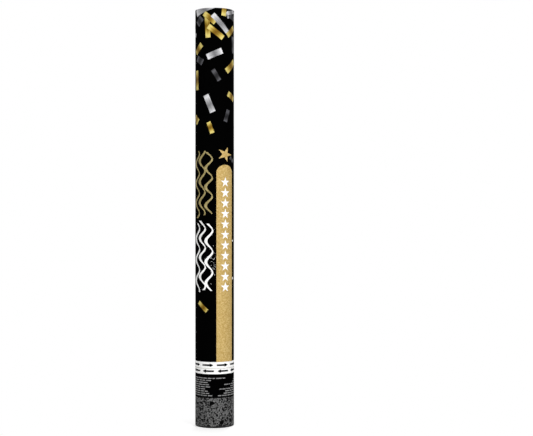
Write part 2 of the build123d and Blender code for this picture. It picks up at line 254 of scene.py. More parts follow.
cut_limit = 0.8
black_paper, tree, spot, skin = new_finish("laminated_black_paper")
clumps = add(tree, NOISE, {"Vector": spot, "Scale": per_size(1.0), "Detail": 3.0})
sheen = add(tree, NOISE, {"Vector": spot, "Scale": per_size(40), "Detail": 2.0})
rough = add(tree, RANGE, {"Value": sheen, "To Min": 0.46, "To Max": 0.62})
facing = add(tree, "ShaderNodeSeparateXYZ", [add(tree, "ShaderNodeNewGeometry").outputs["True Normal"]])
upright = calc(tree, "ABSOLUTE", facing.outputs["Z"])
cut = calc(tree, "GREATER_THAN", upright, cut_limit)
ink = ramp(tree, clumps, (0.3, "#010101"), (0.7, "#030303"))
core = blend(tree, cut, ink, to_linear("#CFCBC2"))
relief = add(tree, "ShaderNodeBump", {"Height": clumps, "Strength": 0.12, "Distance": 0.03 * MM})
fill(skin, {"Base Color": core, "Roughness": rough, "Specular IOR Level": 0.001, "Normal": relief})
print(black_paper.name)

# %% [markdown]
# ## Finish: glitter gold print
# The stripe and the star are printed in gold with fine flakes in the varnish. Each flake lies at its own
# tilt, so neighbours catch the light a little differently. A pattern of cells with one value each gives every
# flake a real tilt, as a bump, and a painted glint: its colour is made lighter or darker, the way a flake
# turned towards or away from the light would look. Real flakes are 0.2 mm. They are drawn at 1.2 mm, about
# what one picture point can show, with finer ones of 0.4 mm over them for a closer look.

# %% Glitter gold print
fine_share = 0.4
glitter_gold, tree, spot, skin = new_finish("glitter_gold_varnish")
coarse, fine = [add(tree, "ShaderNodeTexVoronoi", {"Vector": spot, "Scale": per_size(size)}).outputs["Color"]
                for size in (1.2, 0.4)]
flake_tilt_and_glint = add(tree, "ShaderNodeSeparateColor", [blend(tree, fine_share, coarse, fine)]).outputs
# painted glint: each flake cell's colour is lighter or darker, standing in for the light that its tilt
# catches
tint = ramp(tree, flake_tilt_and_glint[0], (0.15, "#A98B4A"), (0.4, "#B99B5C"), (0.65, "#C1A568"), (0.85, "#D2B980"))
tilt = add(tree, "ShaderNodeBump", {"Height": flake_tilt_and_glint[1], "Strength": 0.25, "Distance": 0.05 * MM})
fill(skin, {"Base Color": tint, "Metallic": 0.1, "Roughness": 0.6, "Specular IOR Level": 0.1, "Normal": tilt})
print(glitter_gold.name)

# %% [markdown]
# ## Finish: strips printed in metallic ink
# The printed strips look like curved foil: light at the ends and dark across the middle. That shading is
# part of the print, so it is drawn from a value that the mesh carries along each strip. A second value runs
# across, for fine streaks like those of rolled foil, and a third shifts the dark part, so that no two strips
# look alike.

# %% Metallic inks
ink_steps = {
    "gold": [(0.0, "#68490A"), (0.13, "#7B6218"), (0.27, "#A68D3E"), (0.42, "#CABB6C"), (0.55, "#BEAD64")],
    "silver": [(0.0, "#69696B"), (0.14, "#818183"), (0.3, "#A2A2A4"), (0.43, "#C8C8CA"), (0.55, "#B6B6B8")],
    "dark": [(0.0, "#171719"), (0.18, "#28282A"), (0.4, "#4F4F53"), (0.55, "#3B3B3E")],
}
streak_reach = 0.36
strip_inks = {}
for ink_name, steps in ink_steps.items():
    strip_inks[ink_name], tree, _, skin = new_finish(ink_name + "_metallic_ink")
    along, across, shift = [add(tree, "ShaderNodeAttribute", attribute_name=label).outputs["Fac"]
                            for label in ("along", "across", "shift")]
    moved = calc(tree, "ADD", along, shift)
    on_strip = add(tree, JOIN, {"X": along, "Y": across, "Z": shift})
    stretched = add(tree, "ShaderNodeMapping", {"Vector": on_strip, "Scale": (1.2, 6.0, 40.0)})
    streaks = add(tree, NOISE, {"Vector": stretched, "Scale": 1.0, "Detail": 2.0})
    wander = calc(tree, "MULTIPLY_ADD", streaks, streak_reach, moved)
    centred = calc(tree, "SUBTRACT", wander, streak_reach / 2)
    fold = calc(tree, "ABSOLUTE", centred)
    tint = ramp(tree, fold, *steps)
    fill(skin, {"Base Color": tint, "Metallic": 0.25, "Roughness": 0.5, "Specular IOR Level": 0.1})
print("metallic inks:", list(strip_inks))

# %% [markdown]
# ## Finish: plain inks
# Many surfaces are one colour that varies a little, and their gloss varies with it. One helper makes such a
# finish from a noise of a given size in millimetres, with a relief if it has one. White, old gold, black and
# grey are plain inks under the same film as the black paper, with the mottle of all solid print, a few
# percent of brightness over 3 mm.

# %% Plain inks
def mottled(name, low, high, smooth, dull, size, detail, spread=0.2, streak=None, relief=None, **values):
    """A finish whose colour and roughness follow one noise, with a relief, if any, from another."""
    material, tree, spot, skin = new_finish(name)
    place = add(tree, "ShaderNodeMapping", {"Vector": spot, "Scale": streak}) if streak else spot
    mottle = add(tree, NOISE, {"Vector": place, "Scale": per_size(size), "Detail": detail})
    tint = ramp(tree, mottle, (0.5 - spread, low), (0.5 + spread, high))
    rough = add(tree, RANGE, {"Value": mottle, "To Min": smooth, "To Max": dull})
    fill(skin, {"Base Color": tint, "Roughness": rough} | values)
    if relief:
        fine, strength, depth = relief
        grain = add(tree, NOISE, {"Vector": spot, "Scale": per_size(fine), "Detail": 2.0})
        bump = add(tree, "ShaderNodeBump", {"Height": grain, "Strength": strength, "Distance": depth * MM})
        fill(skin, {"Normal": bump})
    return material


plain_inks = {}
for ink_name, low, high, shine in (
        ("white", "#EFEFED", "#FCFCFB", 0.2), ("old_gold", "#84764A", "#A99B68", 0.2),
        ("black", "#050505", "#0B0B0B", 0.05), ("grey", "#767676", "#9A9A9A", 0.1)):
    plain_inks[ink_name] = mottled(ink_name + "_ink_under_film", low, high, 0.45, 0.6, size=3, detail=3.0,
                                   **{"Specular IOR Level": shine})
print("plain inks:", list(plain_inks))

# %% [markdown]
# ## Finish: grey stipple
# The foot of the grip carries a stipple: black specks on uneven grey, some of 2.4 mm and some of 3.3 mm, and
# here and there a blot of 6 mm. Each kind is a pattern of cells, each cell with its own chance of being
# inked, drawn on the flat sheet, whose place is carried by the mesh.

# %% Grey stipple
speck_edge, chance_step = 0.12, 0.1
stipple_ink, tree, _, skin = new_finish("grey_stipple_ink_under_film")
sheet_spot = add(tree, "ShaderNodeAttribute", attribute_name="flat").outputs["Vector"]
turned = add(tree, "ShaderNodeMapping", {"Vector": sheet_spot, "Rotation": (math.radians(-90), 0, 0)})
mottle = add(tree, NOISE, {"Vector": turned, "Scale": per_size(1.2), "Detail": 1.0})
tone = ramp(tree, mottle, (0.36, "#242424"), (0.64, "#7C7C7C"))
inked = 0.0
for cell_size, rare, reach in ((2.8, 0.42, 0.42), (4.4, 0.56, 0.38), (15.0, 0.75, 0.2)):
    cells = add(tree, "ShaderNodeTexVoronoi", voronoi_dimensions="2D",
                inputs={"Vector": turned, "Scale": per_size(cell_size), "Randomness": 0.8})
    chance = add(tree, "ShaderNodeSeparateColor", [cells.outputs["Color"]])
    radius = add(tree, RANGE,
                 {"Value": chance, "From Min": rare, "From Max": rare + chance_step, "To Max": reach})
    depth = calc(tree, "SUBTRACT", radius, cells.outputs["Distance"])
    speck = add(tree, RANGE, {"Value": depth, "From Max": speck_edge / cell_size})
    inked = calc(tree, "MAXIMUM", inked, speck)
both = blend(tree, inked, tone, to_linear("#010101"))
fill(skin, {"Base Color": both, "Roughness": 0.55, "Specular IOR Level": 0.02})
print(stipple_ink.name)

# %% [markdown]
# ## Finish: spiral-wound board and pressed card
# The tubes are wound from strips of grey-brown board on a slant, so a seam runs round the bare inside like a
# thread, once every 75 mm. It is found from height plus turn. Board is felted pulp: flecks of 2 mm in several
# browns, and a dull, slightly hairy face.

# %% Spiral-wound board and pressed card
winding_pitch, seam_share = 75, 0.012
boards = {}
for board_name, seam_depth in (("spiral_wound_greyboard", 1.0), ("pressed_grey_card", 0.0)):
    boards[board_name], tree, spot, skin = new_finish(board_name)
    turn = add(tree, "ShaderNodeTexGradient", {"Vector": spot}, gradient_type="RADIAL").outputs["Fac"]
    height = add(tree, "ShaderNodeSeparateXYZ", [spot]).outputs["Z"]
    climb = calc(tree, "MULTIPLY_ADD", height, per_size(winding_pitch), turn)
    cycle = calc(tree, "FRACT", climb)
    seam = add(tree, RANGE, {"Value": cycle, "From Max": seam_share, "To Min": seam_depth, "To Max": 0.0})
    pulp = add(tree, NOISE, {"Vector": spot, "Scale": per_size(2), "Detail": 5.0})
    tint = ramp(tree, pulp, (0.25, "#6F6253"), (0.5, "#8C7D6A"), (0.75, "#A39480"))
    lined = blend(tree, seam, tint, to_linear("#54493D"))
    level = calc(tree, "SUBTRACT", pulp, seam)
    bump = add(tree, "ShaderNodeBump", {"Height": level, "Strength": 0.5, "Distance": 0.1 * MM})
    fill(skin, {"Base Color": lined, "Roughness": 0.9, "Specular IOR Level": 0.2, "Normal": bump})
print(list(boards))

# %% [markdown]
# ## Finish: moulded plastics and rubber
# The caps, the housing and the valve are injection moulded. A spark-eroded mould leaves a fine even grain,
# about 0.15 mm, drawn here at 0.6 mm, and where the plastic flowed its gloss changes slowly over 10 mm or so.
# Acetal is smooth and waxy, polypropylene duller, rubber dullest.

# %% Moulded plastics and rubber
flow_size, grain_size, grain_height = 10, 0.6, 0.05
moulded = {}
for name, low, high, smooth, dull, grain_strength, refraction in (
        ("black_polypropylene", "#060606", "#0E0E0E", 0.5, 0.64, 0.25, 1.3),
        ("grey_abs", "#7E8082", "#8A8C8E", 0.38, 0.5, 0.2, 1.54),
        ("white_acetal", "#E2E1DB", "#ECEBE6", 0.25, 0.36, 0.08, 1.48),
        ("red_acetal", "#A61D1C", "#BC2A26", 0.25, 0.36, 0.08, 1.48),
        ("natural_polyethylene", "#DEDED8", "#EAEAE5", 0.4, 0.55, 0.12, 1.51),
        ("nitrile_rubber", "#121212", "#1E1E1E", 0.62, 0.8, 0.3, 1.52)):
    moulded[name] = mottled("moulded_" + name, low, high, smooth, dull, flow_size, detail=2.0,
                            relief=(grain_size, grain_strength, grain_height), IOR=refraction)
print(list(moulded))

# %% [markdown]
# ## Finish: drawn aluminium and ground steel
# The air bottle is drawn from one slug, which leaves faint streaks along it. The balls, washer and ring are
# ground steel with finer, shorter marks. Both are noise stretched along, and they vary the roughness more
# than the colour.

# %% Drawn aluminium and ground steel
metals = {}
for name, low, high, smooth, dull, streak in (
        ("deep_drawn_aluminium", "#C4C6C9", "#DADCDE", 0.22, 0.42, (1.0, 1.0, 0.03)),
        ("ground_steel", "#A9ABAE", "#C3C5C8", 0.14, 0.3, (1.0, 1.0, 0.4))):
    metals[name] = mottled(name, low, high, smooth, dull, size=0.8, detail=4.0, streak=streak, Metallic=1.0)
print(list(metals))

# %% [markdown]
# ## Finish: metallised film
# The loose strips are thin plastic film with a metal coat, so they mirror the studio like crumpled foil.
# Slack ripples of about 6 mm bend the reflection, and that is what makes foil look like foil.

# %% Metallised film
ripple_size = 6
films = {}
for name, low, high, smooth, dull in (
        ("gold", "#B98F2C", "#DDBB55", 0.16, 0.3), ("silver", "#B9BABD", "#DCDDDF", 0.14, 0.28),
        ("black", "#232326", "#3A3A3E", 0.2, 0.34)):
    films[name] = mottled(name + "_metallised_film", low, high, smooth, dull, ripple_size, detail=2.0,
                          spread=0.15, relief=(ripple_size, 0.5, 0.6), Metallic=1.0)
print("films:", list(films))

# %% [markdown]
# ## Dress the CAD pieces
# Most pieces are moulded or turned, and the CAD model has their exact shape. They keep it, and only their
# finish changes, by filling the material slots of their objects.

# %% Finishes on the CAD pieces
worn_by = {
    moulded["black_polypropylene"]: ["base_cap", "muzzle_cap"],
    moulded["grey_abs"]: ["coupler_sleeve", "breech_housing", "stop_grille"],
    moulded["white_acetal"]: ["valve_body", "cam_collar"],
    moulded["red_acetal"]: ["release_plug"],
    moulded["natural_polyethylene"]: ["wad", "slip_ring"],
    moulded["nitrile_rubber"]: ["fill_valve", "neck_gasket", "plug_o_ring", "breech_seal"],
    metals["deep_drawn_aluminium"]: ["air_cylinder"],
    metals["ground_steel"]: ["thrust_washer", "retaining_ring", "lock_ball_1", "lock_ball_2", "lock_ball_3"],
    boards["spiral_wound_greyboard"]: ["grip_tube", "barrel_tube"],
    boards["pressed_grey_card"]: ["over_card"],
    black_paper: ["barrel_wrap", "grip_wrap"],
} | {films[name]: [name + "_strips"] for name in films}
for finish, wearers in worn_by.items():
    for wearer in wearers:
        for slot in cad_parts[wearer].material_slots:
            slot.material = finish
print(sum(map(len, worn_by.values())), "of", len(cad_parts), "CAD pieces dressed")

# %% [markdown]
# ## Winding a flat sheet onto the tube
# A wrap is printed flat and then rolled on, and the same order is the easiest here. Everything on the paper
# is laid out flat: x along the paper from the middle of the front, z up the tube, and y into the paper.
# One small tree then rolls it up: x divided by the radius is the angle, and the board's radius less y is the
# distance from the axis. Where the paper's end laps over its start, at the back, the radius climbs by one
# sheet. The flat place is kept with the mesh, for a print drawn by a finish.

# %% Tree: wind on the tube
board_radius = 27.8 * MM
paper = 0.2 * MM
print_radius = board_radius + paper
lap_foot, lap_top, paper_end = math.radians(167.7), math.radians(171.8), math.radians(188.19)


def start_tree(name, **inputs):
    """A Geometry Nodes tree with named inputs, each of the kind of its default, and their sockets in it."""
    kinds = {float: "Float", int: "Int", tuple: "Vector", type(None): "Material"}
    tree = bpy.data.node_groups.new(name, "GeometryNodeTree")
    for side in ("OUTPUT", "INPUT"):
        tree.interface.new_socket("Geometry", in_out=side, socket_type="NodeSocketGeometry")
    for label, value in inputs.items():
        socket = tree.interface.new_socket(label.replace("_", " "), in_out="INPUT",
                                           socket_type="NodeSocket" + kinds[type(value)])
        if value is not None:
            socket.default_value = value
    return tree, add(tree, "NodeGroupInput").outputs


def own_place(tree):
    """Where each point of a mesh is, as x, y and z."""
    return add(tree, "ShaderNodeSeparateXYZ", [add(tree, "GeometryNodeInputPosition")]).outputs


wind_on_tube, given = start_tree("wind_on_tube", Board_radius=board_radius, Paper=paper,
                                 Print_radius=print_radius, Lap_foot=lap_foot, Lap_top=lap_top)
tree = wind_on_tube
place = add(tree, "GeometryNodeInputPosition")
marked = add(tree, "GeometryNodeStoreNamedAttribute",
             {"Geometry": given["Geometry"], "Name": "flat", "Value": place}, data_type="FLOAT_VECTOR")
flat = add(tree, "ShaderNodeSeparateXYZ", [place]).outputs
angle = calc(tree, "DIVIDE", flat["X"], given["Print radius"])
climb = add(tree, RANGE, {"Value": angle, "From Min": given["Lap foot"], "From Max": given["Lap top"],
                          "To Max": given["Paper"]})
inward = calc(tree, "SUBTRACT", flat["Y"], climb)
front = calc(tree, "SUBTRACT", inward, given["Board radius"])
spoke = add(tree, JOIN, {"Y": front, "Z": flat["Z"]})
rolled_up = add(tree, "ShaderNodeVectorRotate", {"Vector": spoke, "Angle": angle}, rotation_type="Z_AXIS")
moved = add(tree, "GeometryNodeSetPosition", {"Geometry": marked, "Position": rolled_up})
add(tree, "NodeGroupOutput", [moved])
print(tree.name, len(tree.nodes), "nodes")

# %% [markdown]
# ## How a tree ends, and how it becomes a piece
# Each tree ends in the same few nodes: copies become real geometry, the sheet is wound up, faces are shaded
# smooth with the cut edges kept crisp, and the finish is set. Then the result is baked into a plain mesh, the
# modifier goes, and the piece is told which part of the popper it moves with.

# %% Ending a tree and keeping its result
crisp_angle = 0.7


def end_tree(tree, shape, given, wound=True):
    """Makes copies real, winds them on the tube if asked, smooths all but cut edges, and sets the finish."""
    shape = add(tree, "GeometryNodeRealizeInstances", [shape])
    if wound:
        shape = add(tree, "GeometryNodeGroup", [shape], node_tree=wind_on_tube)
    shape = add(tree, "GeometryNodeSetShadeSmooth", {0: shape, 2: True}, domain="FACE")
    bend = add(tree, "GeometryNodeInputMeshEdgeAngle")
    crisp = add(tree, "FunctionNodeCompare", [bend, crisp_angle], operation="GREATER_THAN")
    shape = add(tree, "GeometryNodeSetShadeSmooth", [shape, crisp, False], domain="EDGE")
    shape = add(tree, "GeometryNodeSetMaterial", {"Geometry": shape, "Material": given["Finish"]})
    add(tree, "NodeGroupOutput", [shape])
    print(tree.name, len(tree.nodes), "nodes")


def keep(name, body, slot, tree, source=None, stands_for=(), **values):
    """Runs a tree on a source mesh and keeps the result as a plain piece that moves with a body."""
    piece = new_object(name, source or bpy.data.meshes.new(name + "_source"))
    shaper = piece.modifiers.new("shape", "NODES")
    shaper.node_group = tree
    for item in tree.interface.items_tree:
        label = item.name.replace(" ", "_")
        if item.in_out == "INPUT" and label in values:
            shaper[item.identifier] = values[label]
    ready = piece.evaluated_get(bpy.context.evaluated_depsgraph_get())
    shape = bpy.data.meshes.new_from_object(ready)
    piece.modifiers.remove(shaper)
    piece.data = shape
    shape.name = name
    shape.materials.clear()
    shape.materials.append(values["Finish"])
    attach(piece, body)
    if stands_for:
        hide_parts(*stands_for)
    print(name, "has", len(shape.polygons), "faces")


# %% [markdown]
# ## The paper wraps
# Both wraps are one sheet of paper round the whole tube, with a narrow lap at the back. A box as long
# as the sheet and 0.2 mm thick, cut into columns, is rolled up by the tree. Flat prints such as the white
# bands at the twist seam are sheets too, a twentieth of a millimetre thick, which start where the lap ends.

# %% Tree: paper sheet
paper_sheet, given = start_tree("paper_sheet", Left=0.0, Right=0.1, Bottom=0.0, Top=0.1, Base=0.0,
                                Thickness=paper, Columns=185, Finish=None)
tree = paper_sheet
grid = add(tree, "GeometryNodeMeshCube", {"Vertices X": given["Columns"], "Vertices Z": 9})
unit = own_place(tree)
face = calc(tree, "ADD", given["Base"], given["Thickness"])
outside, inside = [calc(tree, "MULTIPLY", depth, -1.0) for depth in (face, given["Base"])]
ends = {"X": (given["Left"], given["Right"]), "Y": (outside, inside), "Z": (given["Bottom"], given["Top"])}
spread = {axis: add(tree, RANGE, {"Value": unit[axis], "From Min": -0.5, "From Max": 0.5, "To Min": low,
                                  "To Max": high}) for axis, (low, high) in ends.items()}
place = add(tree, JOIN, spread)
end_tree(tree, add(tree, "GeometryNodeSetPosition", {"Geometry": grid, "Position": place}), given)

# %% Wraps and bands
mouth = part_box("barrel_tube")[1].z
barrel_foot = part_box("barrel_tube")[0].z
grip_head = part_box("grip_tube")[1].z
grip_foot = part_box("grip_wrap")[0].z
sheet_end = paper_end * print_radius
film, end_trim = 0.05 * MM, 0.1 * MM
print_left, print_right = (paper_end - 2 * math.pi) * print_radius, sheet_end - end_trim
band_top, band_foot, stipple_top = 94.4 * MM, 77.1 * MM, 43.0 * MM
on_barrel, on_grip = ("barrel", "printed_paper"), ("grip", "printed_paper")

for name, place, wrap, low, high in (("barrel_paper", on_barrel, "barrel_wrap", barrel_foot, mouth),
                                     ("grip_paper", on_grip, "grip_wrap", grip_foot, grip_head)):
    keep(name, *place, paper_sheet, stands_for=[wrap], Left=-sheet_end, Right=sheet_end, Bottom=low, Top=high,
         Finish=black_paper)
for name, place, low, high, ink in (
        ("barrel_band_print", on_barrel, barrel_foot, band_top, plain_inks["white"]),
        ("grip_band_print", on_grip, band_foot, grip_head, plain_inks["white"]),
        ("stipple_print", on_grip, grip_foot, stipple_top, stipple_ink)):
    keep(name, *place, paper_sheet, Left=print_left, Right=print_right, Bottom=low, Top=high, Base=paper,
         Thickness=film, Finish=ink)

# %% [markdown]
# ## Shapes cut from flat outlines
# The stripe with its round top, the star and the arrows are each one outline. A helper makes a thin flat
# block of an outline. A tree cuts it finely enough to bend, repeats it along a row, and rolls it up. Arrows
# in two rows show which way each half is twisted, and eight of them fill a turn.

# %% Tree: row of prints
row_of_prints, given = start_tree("row_of_prints", Count=1, Start=(0, 0, 0), Step=(0, 0, 0), Fineness=2,
                                  Finish=None)
tree = row_of_prints
pieces = add(tree, "GeometryNodeTriangulate", [given["Geometry"]])
fine = add(tree, "GeometryNodeSubdivideMesh", [pieces, given["Fineness"]])
row = add(tree, "GeometryNodeMeshLine",
          {"Count": given["Count"], "Start Location": given["Start"], "Offset": given["Step"]})
end_tree(tree, add(tree, "GeometryNodeInstanceOnPoints", {"Points": row, "Instance": fine}), given)


def flat_block(name, outline, base, thickness):
    """A thin closed block of an outline of x and z in millimetres, counter-clockwise from the front."""
    count = len(outline)
    corners = [(x * MM, y, z * MM) for y in (-base - thickness, -base) for x, z in outline]
    afters = [(index + 1) % count for index in range(count)]
    sides = [(index, index + count, after + count, after) for index, after in enumerate(afters)]
    block = bpy.data.meshes.new(name)
    block.from_pydata(corners, [], [tuple(range(count)), tuple(reversed(range(count, 2 * count)))] + sides)
    return block


def star_outline(tip, turn):
    """The ten corners of a five-pointed star, with its notches on the lines that join its tips."""
    notch = tip * math.cos(math.radians(72)) / math.cos(math.radians(36))
    rays = [(notch if corner % 2 else tip, math.radians(36 * corner + turn)) for corner in range(10)]
    return [(reach * math.cos(angle), reach * math.sin(angle)) for reach, angle in rays]


# %% Stripe and stars
stripe_left, stripe_right, stripe_shoulder, stripe_crown = 2.55, 29.95, 365.0, 11.2
stripe_middle, stripe_half = (stripe_left + stripe_right) / 2, (stripe_right - stripe_left) / 2
star_x, star_z, column_foot, column_pitch = 16.2 * MM, 391.0 * MM, 201 * MM, 15 * MM
star_width, star_height, arch_steps = 1.12, 0.97, 24
arch_turns = [step * math.pi / arch_steps for step in range(arch_steps + 1)]
arch = [(stripe_middle + stripe_half * math.cos(turn), stripe_shoulder + stripe_crown * math.sin(turn))
        for turn in arch_turns]
stripe_outline = [(stripe_left, band_top / MM), (stripe_right, band_top / MM)] + arch
wide_star = [(star_width * x, star_height * z) for x, z in star_outline(11.4, -2)]
keep("stripe_print", *on_barrel, row_of_prints, flat_block("stripe", stripe_outline, paper, film),
     Fineness=4, Finish=glitter_gold)
keep("star_print", *on_barrel, row_of_prints, flat_block("star", wide_star, paper, film),
     Start=(star_x, 0, star_z), Fineness=3, Finish=glitter_gold)
keep("star_column_print", *on_barrel, row_of_prints,
     flat_block("small_star", star_outline(7.6, 90), paper + film, film), Count=11,
     Start=(star_x, 0, column_foot), Step=(0, 0, column_pitch), Fineness=2, Finish=plain_inks["white"])

# %% Twist arrows
arrow_outline = [(-8.3, -1.15), (3.4, -1.3), (3.1, -2.3), (5.4, -1.9), (8.7, 0.0), (5.4, 1.9), (3.1, 2.3),
                 (3.4, 1.3), (-8.3, 1.15)]
back_outline = [(-x, -z) for x, z in arrow_outline]
arrow_count = 8
arrow_step = 2 * math.pi * print_radius / arrow_count
for name, place, outline, x, z in (
        ("barrel_arrow_print", on_barrel, arrow_outline, -10.55, 89.9),
        ("grip_arrow_print", on_grip, back_outline, -9.4, 81.4)):
    keep(name, *place, row_of_prints, flat_block(name, outline, paper + film, film), Count=arrow_count,
         Start=(x * MM - 3 * arrow_step, 0, z * MM), Step=(arrow_step, 0, 0), Fineness=3,
         Finish=plain_inks["black"])

# %% [markdown]
# ## Printed strips
# The print shows foil strips raining down from the mouth, dense at the top and thinning out downwards. One
# thin block is copied onto points, and each point carries its strip's turn, length and width. The front is
# laid out one by one, and the rest of the way round is strewn by a seeded rule. Where strips cross, each one
# lies a hair higher than those that it crosses.

# %% Tree: printed strips
strip_prints, given = start_tree("strip_prints", Columns=13, Rows=5, Finish=None)
tree = strip_prints
block = add(tree, "GeometryNodeMeshCube", {"Vertices X": given["Columns"], "Vertices Z": given["Rows"]})
unit = own_place(tree)
for label, axis in (("along", "X"), ("across", "Z")):
    block = add(tree, "GeometryNodeStoreNamedAttribute",
                {"Geometry": block, "Name": label, "Value": unit[axis]})
turn, length, width, rise = [add(tree, "GeometryNodeInputNamedAttribute", {"Name": label})
                             for label in ("turn", "length", "width", "rise")]
pitch = calc(tree, "MULTIPLY", turn, -1.0)
turned = add(tree, "FunctionNodeEulerToRotation", [add(tree, JOIN, {"Y": pitch})])
size = add(tree, JOIN, {"X": length, "Y": rise, "Z": width})
copies = add(tree, "GeometryNodeInstanceOnPoints",
             {"Points": given["Geometry"], "Instance": block, "Rotation": turned, "Scale": size})
end_tree(tree, copies, given)


def carry(mesh, **values):
    """Gives the points of a mesh named values."""
    for label, numbers in values.items():
        mesh.attributes.new(label, "FLOAT", "POINT").data.foreach_set("value", numbers)
    return mesh


def points_with(name, places, **values):
    """A mesh of loose points that carry named values."""
    cloud = bpy.data.meshes.new(name)
    cloud.from_pydata(places, [], [])
    return carry(cloud, **values)


def strip_points(name, strips, rises, **values):
    """Points for strips, each x, z, length and width in millimetres and turn in degrees."""
    x, z, length, width, turn = zip(*strips)
    places = [(across * MM, -paper - rise / 2, up * MM) for across, up, rise in zip(x, z, rises)]
    return points_with(name, places, length=[value * MM for value in length],
                       width=[value * MM for value in width], turn=[math.radians(value) for value in turn],
                       rise=rises, **values)


# %% Where the strips lie
# Each strip is x, z, length and width in millimetres, and its turn in degrees.
front_strips = {
    "gold": [(-10.4, 572.8, 30.6, 7.5, -87), (-7.5, 585.9, 22, 7.4, -39), (1.5, 565.7, 27.5, 7.5, -38),
             (27.7, 568.0, 21, 7.5, 40), (-27, 542.9, 18, 8, 40), (27.5, 518.1, 25, 8.5, 40),
             (-31.2, 498.0, 28, 7, -88), (28.4, 474.6, 17, 8, -26), (-33, 441.4, 12, 10, -40),
             (-6.1, 429.0, 17, 6.2, -70), (-18.7, 173.2, 19.3, 6, -40)],
    "silver": [(8.3, 578.4, 33, 7.3, -47), (19.9, 590.5, 9, 4, -53), (-0.1, 534.5, 24, 8.5, 23),
               (-7.8, 463.5, 26.8, 8.3, -67), (-42, 565.2, 14, 6, -20)],
    "dark": [(-24.4, 582.5, 13, 10, 46), (-24.4, 525.9, 14, 9, -30), (2.2, 504.1, 18, 6, -59),
             (18.9, 446.6, 18, 6.2, -108), (29.5, 384.4, 10, 5, -35), (34.6, 549.6, 24, 8, -86),
             (30.5, 588.7, 15, 7.5, -15)],
}
strip_count, strip_spacing = 48, 15
rain_top, rain_depth, rain_gather, highest_strip = 592, 175, 1.5, 583
left_side, right_side, lengths, widths = (-70, -50), (50, 80), (16, 28), (6.5, 8.5)
dice = random.Random(11)
strewn = {name: list(strips) for name, strips in front_strips.items()}
taken = [strip[:2] for strips in front_strips.values() for strip in strips]
while len(taken) < strip_count:
    x = dice.choice((dice.uniform(*left_side), dice.uniform(*right_side)))
    z = rain_top - rain_depth * dice.random() ** rain_gather
    if min(math.dist((x, z), other) for other in taken) > strip_spacing:
        taken.append((x, z))
        ink_name = dice.choice(("gold", "gold", "silver", "dark"))
        strewn[ink_name].append((x, min(z, highest_strip), dice.uniform(*lengths), dice.uniform(*widths),
                                 dice.uniform(-90, 90)))
print({name: len(strips) for name, strips in strewn.items()})

# %% Lay the strips
most_shift = 0.09
laid = []


def lay(x, z, length):
    """How far a strip stands off the paper: one film more than the highest strip that it may cross."""
    crossed = [level for other_x, other_z, other_length, level in laid
               if math.dist((x, z), (other_x, other_z)) < (length + other_length) / 2]
    laid.append((x, z, length, max(crossed, default=0.0) + film))
    return laid[-1][3]


for ink_name, strips in strewn.items():
    rises = [lay(*strip[:3]) for strip in strips]
    points = strip_points(ink_name + "_strip_points", strips, rises,
                          shift=[dice.uniform(-most_shift, most_shift) for _ in strips])
    keep(ink_name + "_strip_print", *on_barrel, strip_prints, points, Finish=strip_inks[ink_name])

# %% Strips cut by the mouth
def cut_at_mouth(x, z, length, width, along):
    """The outline of a strip with this direction along it, below the mouth's edge, counter-clockwise."""
    corners = [(x + along[0] * a * length / 2 - along[1] * b * width / 2,
                z + along[1] * a * length / 2 + along[0] * b * width / 2)
               for a, b in square_corners]
    edge, outline = mouth / MM, []
    for here, there in zip(corners, corners[1:] + corners[:1]):
        if here[1] <= edge:
            outline.append(here)
        if (here[1] - edge) * (there[1] - edge) < 0:
            share = (edge - here[1]) / (there[1] - here[1])
            outline.append((here[0] + share * (there[0] - here[0]), edge))
    return outline


for place, ink_name, x, z, length, width, turn in (
        ("silver", "silver", -15.0, 599.7, 36.3, 10.0, 19), ("gold", "gold", 14.7, 602.0, 26, 7.2, 84),
        ("back", "gold", 62.0, 597.0, 30, 7.5, 35), ("left", "silver", -58.0, 598.0, 26, 7.5, -60),
        ("right", "silver", 27.5, 595.5, 17, 5.5, 15)):
    name = place + "_mouth_strip_print"
    heading = (math.cos(math.radians(turn)), math.sin(math.radians(turn)))
    block = flat_block(name, cut_at_mouth(x, z, length, width, heading), paper, lay(x, z, length))
    from_middle = [(corner.co.x / MM - x, corner.co.z / MM - z) for corner in block.vertices]
    carry(block, along=[(heading[0] * dx + heading[1] * dz) / length for dx, dz in from_middle],
          across=[(heading[0] * dz - heading[1] * dx) / width for dx, dz in from_middle])
    keep(name, *on_barrel, row_of_prints, block, Fineness=3, Finish=strip_inks[ink_name])

# %% [markdown]
# ## Streamers
# Left of the stripe the print has a tall run of gold and below it one of white. Paper streamers fill them:
# each is a ribbon that swings from side to side and seems to twist as it falls. A ribbon is a long grid whose
# rows are moved sideways by a sine, and whose width follows another one.

# %% Tree: streamer
narrowest, twist_lead = 0.3, 0.6
streamer, given = start_tree("streamer", Middle=0.0, Foot=0.0, Length=0.1, Swing=0.005, Waves=3.0, Phase=0.0,
                             Width=0.003, Base=paper, Thickness=film, Finish=None)
tree = streamer
ribbon = add(tree, "GeometryNodeMeshCube", {"Vertices X": 4, "Vertices Z": 121})
unit = own_place(tree)
run = calc(tree, "ADD", unit["Z"], 0.5)
turns = calc(tree, "MULTIPLY", given["Waves"], 2 * math.pi)
wave = calc(tree, "MULTIPLY_ADD", run, turns, given["Phase"])
sway = calc(tree, "SINE", wave)
centre = calc(tree, "MULTIPLY_ADD", sway, given["Swing"], given["Middle"])
twist = calc(tree, "MULTIPLY_ADD", wave, 0.5, twist_lead)
for step in ("COSINE", "ABSOLUTE"):
    twist = calc(tree, step, twist)
shown = calc(tree, "MULTIPLY_ADD", twist, 1 - narrowest, narrowest)
wide = calc(tree, "MULTIPLY", shown, given["Width"])
across = calc(tree, "MULTIPLY_ADD", unit["X"], wide, centre)
up = calc(tree, "MULTIPLY_ADD", run, given["Length"], given["Foot"])
half = calc(tree, "SUBTRACT", unit["Y"], 0.5)
depth = calc(tree, "MULTIPLY", half, given["Thickness"])
out = calc(tree, "SUBTRACT", depth, given["Base"])
bent = add(tree, JOIN, {"X": across, "Y": out, "Z": up})
